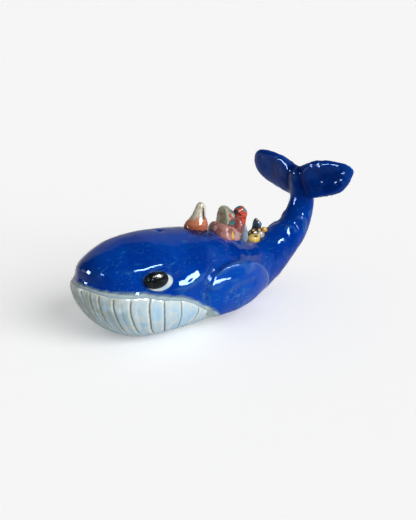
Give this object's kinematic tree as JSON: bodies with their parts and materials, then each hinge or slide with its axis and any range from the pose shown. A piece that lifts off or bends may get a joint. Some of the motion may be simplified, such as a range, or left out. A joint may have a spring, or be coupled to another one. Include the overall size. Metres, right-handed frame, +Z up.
{
  "type": "whale figurine",
  "caption": "Hand-built glazed ceramic whale figurine with an upturned tail, a pleated pale throat and small glazed lumps along its back; it rests flat on a shelf",
  "frame": {"origin": "the middle of the bounding box in plan, on the surface the whale rests on", "axes": "+Z up, +X from the nose to the tail along the longest side, +Y to the whale's right"},
  "size_m": [0.2597, 0.126, 0.1247],
  "materials": {
    "cobalt_glaze": "deep glossy cobalt glaze",
    "throat_glaze": "pale blue-white gloss glaze, darker in the pleats",
    "eye_white_glaze": "glossy white glaze",
    "eye_black_glaze": "glossy black glaze",
    "cone_glaze": "cream glaze over a rust-red foot",
    "pink_glaze": "glossy dusty pink glaze",
    "grey_glaze": "grey-green glaze with red dabs",
    "red_glaze": "brick-red glaze with teal dabs",
    "stone_glaze": "blue-grey glaze",
    "dark_glaze": "near-black glaze with teal and yellow dabs",
    "white_glaze": "off-white glaze",
    "yellow_glaze": "honey-yellow glaze"
  },
  "bodies": {
    "root": {"body_shell": "cobalt_glaze", "tail_stock": "cobalt_glaze", "throat_panel": "throat_glaze", "left_fin": "cobalt_glaze", "right_fin": "cobalt_glaze", "left_fluke": "cobalt_glaze", "right_fluke": "cobalt_glaze", "left_eye_white": "eye_white_glaze", "right_eye_white": "eye_white_glaze", "left_eye_ball": "eye_black_glaze", "right_eye_ball": "eye_black_glaze", "cone_peak": "cone_glaze", "pink_dish": "pink_glaze", "grey_boulder": "grey_glaze", "red_wedge": "red_glaze", "red_arm": "red_glaze", "red_knob": "red_glaze", "back_stone": "stone_glaze", "dark_ledge": "dark_glaze", "dark_peak": "dark_glaze", "white_pad": "white_glaze", "yellow_bead": "yellow_glaze", "yellow_pebble": "yellow_glaze"}
  },
  "joints": []
}
